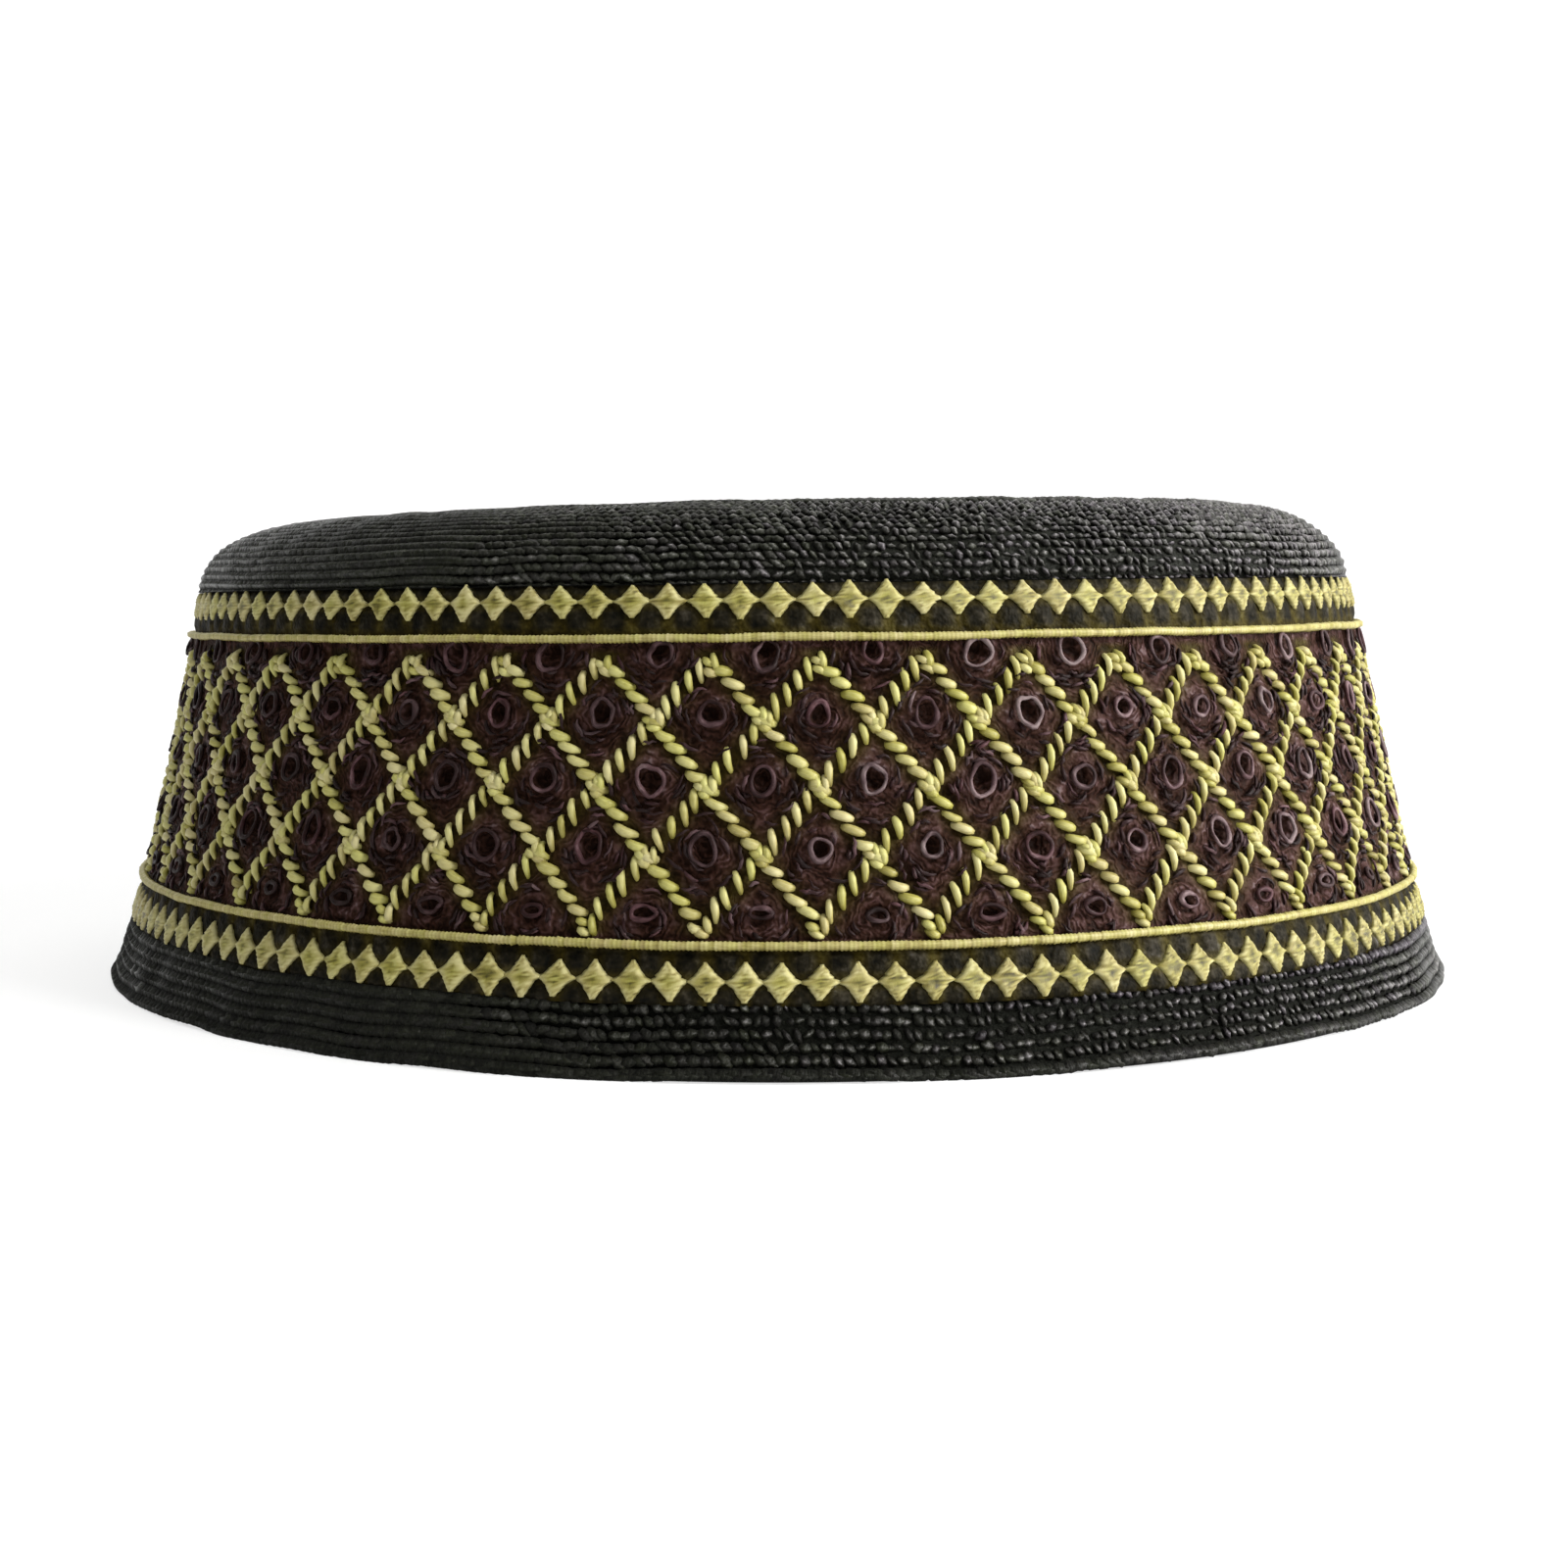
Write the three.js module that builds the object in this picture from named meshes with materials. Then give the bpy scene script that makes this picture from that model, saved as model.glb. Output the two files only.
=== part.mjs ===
// Round embroidered prayer cap with a flat crown, in millimetres, +Z up.
// The origin is the centre of the rim's underside, and the front faces -Y.
// The wall flares from the crown down to the hem, and the right side of the crown stands a little higher.
import * as THREE from "three";
import { mergeVertices } from "three/addons/utils/BufferGeometryUtils.js";

// Overall size
const rimRadius = 94.8;
const capHeight = 62.7;
const clothThickness = 2.0;
const hemThickness = 2.6;

// Bands, from the floor up
const hemHeight = 7.7;
const rimRounding = 0.4;
const shoulderHeight = 9.5;
const shoulderReach = 15.0;
const crownDome = 0.8;
const seamGap = 0.3;

// Rise of the crown's right side as the cap tips over, and how fast it grows with height
const crownLean = 1.8;
const leanGrowth = 3;

// Stitched rows that stand out as ribs on the black cloth
const hemRows = 6;
const crownRows = 8;
const rowDepth = 0.25;

// Gold trimmings, all lying just off the cloth
const seatGap = 0.3;
const lowerCordDiameter = 1.1;
const upperCordDiameter = 1.0;
const lowerCordMargin = 1.35;
const upperCordMargin = 1.0;
const trimTall = 4.1;
const trimRelief = 0.6;
const trimNeckTall = 0.5;
const trimNeckRelief = 0.3;
const trimMargin = 0.1;
const lowerTrimCount = 138;
const upperTrimCount = 126;
const trimTurn = THREE.MathUtils.degToRad(0.45);

// Rope-stitched diamond net between the cords
const latticeCells = 44;
const latticeTurn = THREE.MathUtils.degToRad(-5.45);
const latticeMargin = 2.1;
const ropeWidth = 1.8;
const ropeRelief = 0.95;

// Facets of the round pieces
const wallColumns = 48;
const cordColumns = 60;
const cordSides = 5;
const bandRows = 6;
const innerRows = 2;
const shoulderRows = 4;

// The wall's side profile: shares of the cap's height and of the rim's radius
const sideProfile = [
  { up: 0.006, out: 1.0 },
  { up: 0.045, out: 0.986 },
  { up: 0.097, out: 0.976 },
  { up: 0.15, out: 0.964 },
  { up: 0.257, out: 0.942 },
  { up: 0.469, out: 0.91 },
  { up: 0.671, out: 0.88 },
  { up: 0.756, out: 0.87 },
  { up: 0.848, out: 0.857 },
];

// The net's crossings: shares of the way from its valleys up to its peaks
const latticeLevels = [
  { up: 1.0 },
  { up: 0.76 },
  { up: 0.51 },
  { up: 0.255 },
  { up: 0.0 },
];

// Heights that follow from the sizes above
const bandBottom = hemHeight + seamGap;
const crownSeam = capHeight - shoulderHeight;
const bandTop = crownSeam - seamGap;
const lowerTrimHeight = bandBottom + trimMargin + trimTall / 2;
const lowerCordHeight = lowerTrimHeight + trimTall / 2 + lowerCordMargin + lowerCordDiameter / 2;
const upperTrimHeight = bandTop - trimMargin - trimTall / 2;
const upperCordHeight = upperTrimHeight - trimTall / 2 - upperCordMargin - upperCordDiameter / 2;
const latticeBottom = lowerCordHeight + latticeMargin;
const latticeTop = upperCordHeight - latticeMargin;
const crownRadius = wallRadius(crownSeam);

const fullTurn = Math.PI * 2;
const axisTolerance = 1e-3;

// Outer radius of the plain wall at a height
function wallRadius(height) {
  const up = height / capHeight;
  const passed = sideProfile.filter((row) => row.up < up).length;
  const next = THREE.MathUtils.clamp(passed, 1, sideProfile.length - 1);
  const below = sideProfile[next - 1];
  const above = sideProfile[next];
  return rimRadius * THREE.MathUtils.mapLinear(up, below.up, above.up, below.out, above.out);
}

// A point at an angle from the front, positive to the cap's right side
function onCap(angle, radius, height) {
  return new THREE.Vector3(radius * Math.sin(angle), -radius * Math.cos(angle), height);
}

// A point lying off the cloth by a clearance
function onWall(angle, height, clearance) {
  return onCap(angle, wallRadius(height) + clearance, height);
}

// Tips the upper part towards the left, so that its right side stands higher
function leaned(geometry) {
  const corners = geometry.attributes.position;
  for (let i = 0; i < corners.count; i++) {
    const across = corners.getX(i);
    const height = corners.getZ(i);
    const tip = (crownLean / crownRadius) * (height / capHeight) ** leanGrowth;
    corners.setX(i, across - tip * height);
    corners.setZ(i, height + tip * across);
  }
  return geometry;
}

// One closed mesh: shared corners merged, and triangles without area left out
function closedMesh(geometry) {
  geometry.deleteAttribute("normal");
  geometry.deleteAttribute("uv");
  const merged = mergeVertices(geometry, axisTolerance);
  const kept = [];
  for (let i = 0; i < merged.index.count; i += 3) {
    const [a, b, c] = [0, 1, 2].map((corner) => merged.index.getX(i + corner));
    if (a !== b && b !== c && c !== a) kept.push(a, b, c);
  }
  merged.setIndex(kept);
  merged.computeVertexNormals();
  return merged;
}

// Collects flat faces, given by their corners seen anticlockwise from outside
class FaceList {
  constructor() {
    this.corners = [];
  }

  add(first, ...rest) {
    for (let i = 0; i + 1 < rest.length; i++) {
      for (const corner of [first, rest[i], rest[i + 1]]) this.corners.push(...corner.toArray());
    }
  }

  geometry() {
    const shape = new THREE.BufferGeometry();
    shape.setAttribute("position", new THREE.Float32BufferAttribute(this.corners, 3));
    return shape;
  }
}

// Turns a closed outline of radius and height round the cap's axis
function turned(outline) {
  const shape = new THREE.LatheGeometry(outline, wallColumns);
  return leaned(shape.rotateX(Math.PI / 2));
}

// Points along a curve in even steps
function along(curve, steps) {
  return Array.from({ length: steps + 1 }, (_, step) => curve(step / steps));
}

// A ribbed line: its crests lie on the curve, and its grooves are cut in between the rows
function ribbed(curve, rows) {
  const nudge = 1e-3;
  return along((t) => {
    const here = curve(t);
    const isGroove = Math.round(t * rows * 2) % 2 === 0;
    if (!isGroove) return here;
    const way = curve(Math.min(t + nudge, 1)).sub(curve(Math.max(t - nudge, 0))).normalize();
    return here.add(new THREE.Vector2(-way.y, way.x).multiplyScalar(rowDepth));
  }, rows * 2);
}

// The straight stretch of wall between two heights, set in from the outer face
function wallLine(from, to, inset) {
  return (t) => {
    const height = THREE.MathUtils.lerp(from, to, t);
    return new THREE.Vector2(wallRadius(height) - inset, height);
  };
}

// The crown's shoulder, a quarter ellipse from the seam to the flat top
function shoulderLine(inset) {
  return (t) => {
    const turn = (t * Math.PI) / 2;
    const flatRadius = crownRadius - shoulderReach;
    const radius = flatRadius + (shoulderReach - inset) * Math.cos(turn);
    return new THREE.Vector2(radius, crownSeam + (shoulderHeight - inset) * Math.sin(turn));
  };
}

function hemBand() {
  const rim = wallRadius(rimRounding);
  const underside = [
    new THREE.Vector2(rim - hemThickness, 0),
    new THREE.Vector2(rim - rimRounding, 0),
  ];
  const outside = ribbed(wallLine(rimRounding, hemHeight, 0), hemRows);
  const top = new THREE.Vector2(wallRadius(hemHeight) - hemThickness, hemHeight);
  return turned([...underside, ...outside, top, underside[0].clone()]);
}

function sideBand() {
  const outside = along(wallLine(bandBottom, bandTop, 0), bandRows);
  const inside = along(wallLine(bandTop, bandBottom, clothThickness), innerRows);
  return turned([...outside, ...inside, outside[0].clone()]);
}

function crown() {
  const top = capHeight + crownDome;
  const flatRadius = crownRadius - shoulderReach;
  const inside = along(shoulderLine(clothThickness), shoulderRows).reverse();
  const outside = ribbed(shoulderLine(0), crownRows);
  return turned([
    new THREE.Vector2(0, top - clothThickness),
    new THREE.Vector2(flatRadius / 2, top - clothThickness),
    ...inside,
    ...outside,
    new THREE.Vector2(flatRadius / 2, top),
    new THREE.Vector2(0, top),
  ]);
}

function cord(height, diameter) {
  const ringRadius = wallRadius(height) + seatGap + diameter / 2;
  const ring = new THREE.TorusGeometry(ringRadius, diameter / 2, cordSides, cordColumns);
  return leaned(ring.translate(0, 0, height));
}

// A ring of padded diamonds joined tip to tip by a narrow neck
function diamondTrim(height, count) {
  const faces = new FaceList();
  const halfStep = fullTurn / count / 2;
  const halfTall = trimTall / 2;
  const halfNeck = trimNeckTall / 2;
  for (let i = 0; i < count; i++) {
    const middle = trimTurn + i * halfStep * 2;
    const left = middle - halfStep;
    const right = middle + halfStep;
    const peak = onWall(middle, height, seatGap + trimRelief);
    const top = onWall(middle, height + halfTall, seatGap);
    const bottom = onWall(middle, height - halfTall, seatGap);
    const leftNeck = onWall(left, height, seatGap + trimNeckRelief);
    const rightNeck = onWall(right, height, seatGap + trimNeckRelief);
    const leftUpper = onWall(left, height + halfNeck, seatGap);
    const leftLower = onWall(left, height - halfNeck, seatGap);
    const rightUpper = onWall(right, height + halfNeck, seatGap);
    const rightLower = onWall(right, height - halfNeck, seatGap);
    faces.add(peak, rightNeck, rightUpper, top);
    faces.add(peak, top, leftUpper, leftNeck);
    faces.add(peak, leftNeck, leftLower, bottom);
    faces.add(peak, bottom, rightLower, rightNeck);
    faces.add(top, rightUpper, rightLower, bottom, leftLower, leftUpper);
  }
  return leaned(faces.geometry());
}

// Where two ropes of the net cross: the crest and the four corners on the cloth round it
function netCrossing(level, step) {
  const halfCell = fullTurn / latticeCells / 2;
  const angle = latticeTurn + step * halfCell;
  const height = THREE.MathUtils.lerp(latticeBottom, latticeTop, latticeLevels[level].up);
  const run = wallRadius(height) * halfCell;
  const rise = (latticeTop - latticeBottom) / (latticeLevels.length - 1);
  const slant = Math.hypot(run, rise);
  const halfAcross = (ropeWidth / 2) * (slant / rise);
  const halfUp = (ropeWidth / 2) * (slant / run);
  const halfTurn = halfAcross / wallRadius(height);
  return {
    crest: onWall(angle, height, seatGap + ropeRelief),
    left: onWall(angle - halfTurn, height, seatGap),
    right: onWall(angle + halfTurn, height, seatGap),
    up: onWall(angle, height + halfUp, seatGap),
    down: onWall(angle, height - halfUp, seatGap),
  };
}

// A ridged net of ropes, with crossings at every second half cell of each level
function goldLattice() {
  const faces = new FaceList();
  const lowest = latticeLevels.length - 1;
  for (let level = 0; level <= lowest; level++) {
    for (let cell = 0; cell < latticeCells; cell++) {
      const step = cell * 2 + (level % 2);
      const here = netCrossing(level, step);
      faces.add(here.up, here.right, here.down, here.left);
      if (level === 0) faces.add(here.crest, here.right, here.up, here.left);
      if (level === lowest) faces.add(here.crest, here.left, here.down, here.right);
      if (level === lowest) continue;
      const lowerRight = netCrossing(level + 1, step + 1);
      const lowerLeft = netCrossing(level + 1, step - 1);
      faces.add(here.crest, lowerRight.crest, lowerRight.up, here.right);
      faces.add(here.crest, here.down, lowerRight.left, lowerRight.crest);
      faces.add(here.down, here.right, lowerRight.up, lowerRight.left);
      faces.add(here.crest, here.left, lowerLeft.up, lowerLeft.crest);
      faces.add(here.crest, lowerLeft.crest, lowerLeft.right, here.down);
      faces.add(here.left, here.down, lowerLeft.right, lowerLeft.up);
    }
  }
  return leaned(faces.geometry());
}

const blackCotton = { color: 0x26282a, roughness: 0.85, metalness: 0.0 };
const maroonGround = { color: 0x3a1c22, roughness: 0.9, metalness: 0.0 };
const goldThread = { color: 0xc4ba68, roughness: 0.45, metalness: 0.25 };

function piece(name, geometry, finish) {
  const mesh = new THREE.Mesh(closedMesh(geometry), new THREE.MeshStandardMaterial(finish));
  mesh.name = name;
  return mesh;
}

const group = new THREE.Group();
group.add(
  piece("crown", crown(), blackCotton),
  piece("side_band", sideBand(), maroonGround),
  piece("hem_band", hemBand(), blackCotton),
  piece("upper_cord", cord(upperCordHeight, upperCordDiameter), goldThread),
  piece("lower_cord", cord(lowerCordHeight, lowerCordDiameter), goldThread),
  piece("upper_diamond_trim", diamondTrim(upperTrimHeight, upperTrimCount), goldThread),
  piece("lower_diamond_trim", diamondTrim(lowerTrimHeight, lowerTrimCount), goldThread),
  piece("gold_lattice", goldLattice(), goldThread),
);

export default group;
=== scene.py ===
"""Finish of a round embroidered prayer cap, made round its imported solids.

The shapes are worked out in millimetres on the unrolled wall, where a point has an angle round the cap,
a height and a distance out from the cloth. Angle 0 is the front, and positive angles go to the right.
"""
import math

import bpy
import numpy as np
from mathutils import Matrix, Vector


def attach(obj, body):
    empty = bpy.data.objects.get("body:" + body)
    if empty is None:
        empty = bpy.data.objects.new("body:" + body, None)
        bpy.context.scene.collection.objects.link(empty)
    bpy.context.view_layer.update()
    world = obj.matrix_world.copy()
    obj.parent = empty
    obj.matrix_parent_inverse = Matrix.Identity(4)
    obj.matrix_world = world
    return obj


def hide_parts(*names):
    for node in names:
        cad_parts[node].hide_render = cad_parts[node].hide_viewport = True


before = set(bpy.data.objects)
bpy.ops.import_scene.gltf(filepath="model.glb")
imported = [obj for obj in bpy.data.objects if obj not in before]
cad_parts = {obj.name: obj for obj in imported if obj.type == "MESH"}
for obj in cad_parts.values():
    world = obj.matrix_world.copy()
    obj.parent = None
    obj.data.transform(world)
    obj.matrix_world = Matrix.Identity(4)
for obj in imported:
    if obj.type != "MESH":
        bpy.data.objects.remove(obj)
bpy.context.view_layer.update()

MM = 0.001
TURN = 2 * math.pi

# Form of the cap, in millimetres, with the sizes of the solids
RIM_RADIUS = 94.8
CAP_HEIGHT = 62.7
CLOTH_THICKNESS = 2.0
HEM_THICKNESS = 2.6
HEM_HEIGHT = 7.7
RIM_ROUNDING = 0.4
SHOULDER_HEIGHT = 9.5
SHOULDER_REACH = 15.0
CROWN_DOME = 0.8
CROWN_LEAN = 1.8
LEAN_GROWTH = 3

# Gap between the maroon ground and the black cloth above and below it
SEAM_GAP = 0.1

# Gold trimmings round the cap: millimetres, and heights of their middles
CORDS = {
    "lower": {"height": 14.1, "diameter": 1.1, "seed": 83},
    "upper": {"height": 47.2, "diameter": 1.0, "seed": 81},
}
TRIMS = {
    "lower": {"height": 10.32, "tall": 4.2, "count": 138, "seed": 92},
    "upper": {"height": 51.3, "tall": 3.85, "count": 126, "seed": 91},
}
TRIM_TURN = math.radians(0.45)
LATTICE_CELLS = 44
LATTICE_TURN = math.radians(-5.45)
LATTICE_BOTTOM = 16.2
LATTICE_TOP = 45.1

# The wall's side profile: shares of the cap's height and of the rim's radius
PROFILE = [
    (0.006, 1.0), (0.045, 0.986), (0.097, 0.976), (0.15, 0.964), (0.257, 0.942),
    (0.469, 0.91), (0.671, 0.88), (0.756, 0.87), (0.848, 0.857),
]
PROFILE_UP = [up * CAP_HEIGHT for up, out in PROFILE]
PROFILE_OUT = [out * RIM_RADIUS for up, out in PROFILE]

# The net's crossings, as shares of the way down from its peaks to its valleys
LEVEL_DOWN = [0.0, 0.24, 0.49, 0.745, 1.0]
LEVEL_HEIGHTS = [LATTICE_TOP - (LATTICE_TOP - LATTICE_BOTTOM) * share for share in LEVEL_DOWN]
LEVELS = len(LEVEL_HEIGHTS)

CROWN_SEAM = CAP_HEIGHT - SHOULDER_HEIGHT
SHOULDER_SAMPLES = 400
SHOULDER_BELOW_SEAM = 2.0
CELL_ANGLE = TURN / LATTICE_CELLS


def wall_radius(height):
    """The wall's outer radius at a height."""
    return np.interp(height, PROFILE_UP, PROFILE_OUT)


CROWN_RADIUS = float(wall_radius(CROWN_SEAM))
FLAT_RADIUS = CROWN_RADIUS - SHOULDER_REACH
MIDDLE_RADIUS = float(wall_radius((LATTICE_TOP + LATTICE_BOTTOM) / 2))
CELL_WIDTH = CELL_ANGLE * MIDDLE_RADIUS
LEVEL_RISE = (LATTICE_TOP - LATTICE_BOTTOM) / (LEVELS - 1)


def leaned(across, depth, height):
    """Points tipped towards the left, more so the higher they are."""
    tip = (CROWN_LEAN / CROWN_RADIUS) * (np.maximum(height, 0) / CAP_HEIGHT) ** LEAN_GROWTH
    return np.stack([across - tip * height, depth, height + tip * across], axis=-1)


def turned(angle, radius, height):
    """Points at an angle and a radius round the axis."""
    return leaned(radius * np.sin(angle), -radius * np.cos(angle), height)


def wall_line(up):
    """Radius, height and outward slope of the wall at a distance up from the floor."""
    return wall_radius(up), up, 0.0


def shoulder_table():
    """The crown's quarter-ellipse shoulder: distance up from the side seam, radius, height, outward slope.

    It starts on the wall below the seam, with the lowest stitches.
    """
    turn = np.linspace(0, math.pi / 2, SHOULDER_SAMPLES)
    radius = FLAT_RADIUS + SHOULDER_REACH * np.cos(turn)
    height = CROWN_SEAM + SHOULDER_HEIGHT * np.sin(turn)
    distance = np.concatenate([[0], np.cumsum(np.hypot(np.diff(radius), np.diff(height)))])
    slope = np.arctan2(SHOULDER_REACH * np.sin(turn), SHOULDER_HEIGHT * np.cos(turn))
    first_height = CROWN_SEAM - SHOULDER_BELOW_SEAM
    distance, radius = np.append(-SHOULDER_BELOW_SEAM, distance), np.append(wall_radius(first_height), radius)
    return distance, radius, np.append(first_height, height), np.append(0, slope)


SHOULDER = shoulder_table()
SHOULDER_LENGTH = float(SHOULDER[0][-1])


def shoulder_line(up):
    """Radius, height and outward slope of the crown's shoulder at a distance up from the side seam."""
    return [np.interp(up, SHOULDER[0], column) for column in SHOULDER[1:]]


def placed(local, angle, up, line=wall_line):
    """Local points of many copies, as across, up and out, set round their places on a line's surface."""
    spread = (-1, *[1] * (local.ndim - 2))
    angle, up = np.reshape(angle, spread), np.reshape(up, spread)
    radius, height, slope = line(up + local[..., 1])
    out = local[..., 2]
    return turned(angle + local[..., 0] / radius, radius + out * np.cos(slope), height + out * np.sin(slope))


class Shape:
    """Points, faces and thread coordinates of a mesh, with its points' shades from 0 to 1."""

    def __init__(self, points, quads, tris, uv, shades):
        self.points = points.reshape(-1, 3)
        self.quads = quads.reshape(-1, 4)
        self.tris = tris.reshape(-1, 3)
        self.uv = uv.reshape(-1, 2)
        self.shades = {name: values.reshape(-1) for name, values in shades.items()}


def joined(*shapes):
    """One shape out of several."""
    starts = np.cumsum([0] + [len(s.points) for s in shapes])
    return Shape(
        np.concatenate([s.points for s in shapes]),
        np.concatenate([s.quads + at for s, at in zip(shapes, starts)]),
        np.concatenate([s.tris + at for s, at in zip(shapes, starts)]),
        np.concatenate([s.uv for s in shapes]),
        {name: np.concatenate([s.shades[name] for s in shapes]) for name in shapes[0].shades},
    )


def lofted(points, uv, closed=False, **shades):
    """Skin over copies of rows of ring sections: an array of copies, rows, ring points and coordinates."""
    size = copies, rows, ring = points.shape[:3]
    index = np.arange(copies * rows * ring).reshape(copies, rows, ring)
    here = index if closed else index[:, :-1]
    after = np.roll(index, -1, axis=1) if closed else index[:, 1:]
    quads = np.stack([here, np.roll(here, -1, axis=2), np.roll(after, -1, axis=2), after], axis=-1)
    caps = []
    if not closed:
        for step in range(1, ring - 1):
            caps.append(np.stack([index[:, 0, 0], index[:, 0, step + 1], index[:, 0, step]], axis=-1))
            caps.append(np.stack([index[:, -1, 0], index[:, -1, step], index[:, -1, step + 1]], axis=-1))
    tris = np.concatenate(caps) if caps else np.zeros((0, 3), int)
    uv_pair = np.stack(np.broadcast_arrays(*uv, np.zeros(size))[:2], axis=-1)
    shades = {name: np.broadcast_to(values, size) for name, values in shades.items()}
    return Shape(points, quads, tris, uv_pair, shades)


def turned_outward(shape):
    """Faces in the order that makes the shape's volume positive."""
    a, b, c = (shape.points[shape.quads[:, k]] for k in range(3))
    d = shape.points[shape.quads[:, 3]]
    volume = np.einsum("ij,ij->", a, np.cross(b, c)) + np.einsum("ij,ij->", a, np.cross(c, d))
    if volume < 0:
        shape.quads = shape.quads[:, ::-1]
        shape.tris = shape.tris[:, ::-1]
    return shape


def linked(name, data):
    """A new object in the scene."""
    made = bpy.data.objects.new(name, data)
    bpy.context.scene.collection.objects.link(made)
    return made


def add_piece(name, shape, finish, *nodes):
    """Makes a mesh object of a shape, with the finish's material, in place of the named solids; the finish's
    slot name is not used.
    """
    shape = turned_outward(shape)
    material, slot = finish
    mesh = bpy.data.meshes.new(name)
    corners = np.concatenate([shape.quads.ravel(), shape.tris.ravel()]).astype(np.int32)
    sizes = np.repeat([4, 3], [len(shape.quads), len(shape.tris)])
    starts = np.append(0, np.cumsum(sizes)[:-1]).astype(np.int32)
    mesh.vertices.add(len(shape.points))
    mesh.loops.add(len(corners))
    mesh.polygons.add(len(starts))
    mesh.vertices.foreach_set("co", (shape.points * MM).astype(np.float32).ravel())
    mesh.loops.foreach_set("vertex_index", corners)
    mesh.polygons.foreach_set("loop_start", starts)
    mesh.polygons.foreach_set("use_smooth", np.ones(len(starts), bool))
    layer = mesh.uv_layers.new(name="threads")
    layer.uv.foreach_set("vector", shape.uv[corners].astype(np.float32).ravel())
    for shade, values in shape.shades.items():
        attribute = mesh.attributes.new(shade, "FLOAT", "POINT")
        attribute.data.foreach_set("value", values.astype(np.float32))
    mesh.update(calc_edges=True)
    mesh.validate()
    mesh.materials.append(material)
    piece = linked(name, mesh)
    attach(piece, "root")
    if nodes:
        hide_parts(*nodes)


NOISE_ROWS = 512


def noise(across, up, cells_across, seed):
    """Smooth noise from -1 to 1 that closes on itself round the cap."""
    table = np.random.default_rng(seed).uniform(-1, 1, (cells_across, NOISE_ROWS))
    left, low = np.floor(across).astype(int), np.floor(up).astype(int)
    right_share, high_share = across - left, up - low
    right_share = right_share * right_share * (3 - 2 * right_share)
    high_share = high_share * high_share * (3 - 2 * high_share)

    def at(step_across, step_up):
        return table[(left + step_across) % cells_across, (low + step_up) % NOISE_ROWS]

    bottom = at(0, 0) * (1 - right_share) + at(1, 0) * right_share
    top = at(0, 1) * (1 - right_share) + at(1, 1) * right_share
    return bottom * (1 - high_share) + top * high_share


def wall_noise(angle, up, grain, seed):
    """Noise with a grain in millimetres."""
    cells = int(round(TURN * MIDDLE_RADIUS / grain))
    return noise(angle / TURN * cells, up / grain, cells, seed)


# Black cloth under its stitches, in millimetres, and its tones
CLOTH_SUNK = 0.7
CLOTH_UNEVEN = 0.1
CLOTH_GRAIN = 4.0
RIM_BEVEL = 0.3
LINING_SHADE = 0.15
EDGE_CLOTH_TONE = 0.2


def ring_shell(outer, inner, angle, row_step=1.0, **shades):
    """A closed ring from an outer line that goes up and an inner line that comes down, at each angle."""
    outer = np.broadcast_arrays(*outer, angle)[:2]
    inner = np.broadcast_arrays(*inner, angle)[:2]
    radius = np.concatenate([outer[0], inner[0]], axis=1)
    height = np.concatenate([outer[1], inner[1]], axis=1)
    lining = np.full(inner[0].shape, LINING_SHADE)
    shades = {name: np.concatenate([values, lining], axis=1)[None] for name, values in shades.items()}
    uv = (angle[None] * radius.mean(), np.arange(radius.shape[1])[None, None, :] * row_step)
    return lofted(turned(angle, radius, height)[None], uv, closed=True, **shades)


def unit(values):
    """Values held between 0 and 1."""
    return np.clip(values, 0, 1)


def grid(*counts):
    """Numbers of all cells of a grid, as a flat list for each direction."""
    return [index.ravel() for index in np.indices(counts)]


def round_angles(columns):
    """Even turns round the cap, one to a column of points."""
    return (np.arange(columns) / columns * TURN)[:, None]


def hem_band(columns=240, rows=9):
    """Black hem cloth under its stitches, with its turned rim."""
    angle = round_angles(columns)
    height = np.linspace(RIM_ROUNDING, HEM_HEIGHT, rows)[None, :]
    radius = wall_radius(height) - CLOTH_SUNK + CLOTH_UNEVEN * wall_noise(angle, height, CLOTH_GRAIN, 13)
    rim = float(wall_radius(RIM_ROUNDING))
    inner_radius = [
        wall_radius(HEM_HEIGHT) - HEM_THICKNESS,
        wall_radius(HEM_HEIGHT / 2) - HEM_THICKNESS,
        rim - HEM_THICKNESS,
        rim - HEM_THICKNESS + RIM_BEVEL,
        rim - CLOTH_SUNK - RIM_ROUNDING,
    ]
    inner_height = [HEM_HEIGHT - RIM_BEVEL, HEM_HEIGHT / 2, RIM_BEVEL, 0.0, 0.0]
    tone = np.zeros(radius.shape)
    return ring_shell((radius, height), (inner_radius, inner_height), angle, tone=tone, tint=tone)


def crown_shoulder(columns=240, outer_rows=15, inner_rows=8):
    """Black cloth of the crown's rounded edge, under its stitches."""
    angle = round_angles(columns)
    radius, height, slope = shoulder_line(np.linspace(0, SHOULDER_LENGTH, outer_rows)[None, :])
    squeeze = 3
    out = -CLOTH_SUNK + CLOTH_UNEVEN * wall_noise(angle, height * squeeze, CLOTH_GRAIN, 23)
    outer = (radius + out * np.cos(slope), height + out * np.sin(slope))
    radius, height, slope = shoulder_line(np.linspace(SHOULDER_LENGTH, 0, inner_rows))
    inner = (radius - CLOTH_THICKNESS * np.cos(slope), height - CLOTH_THICKNESS * np.sin(slope))
    tone = np.full(outer[0].shape, EDGE_CLOTH_TONE)
    return ring_shell(outer, inner, angle, tone=tone, tint=0.5 * tone)


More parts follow.
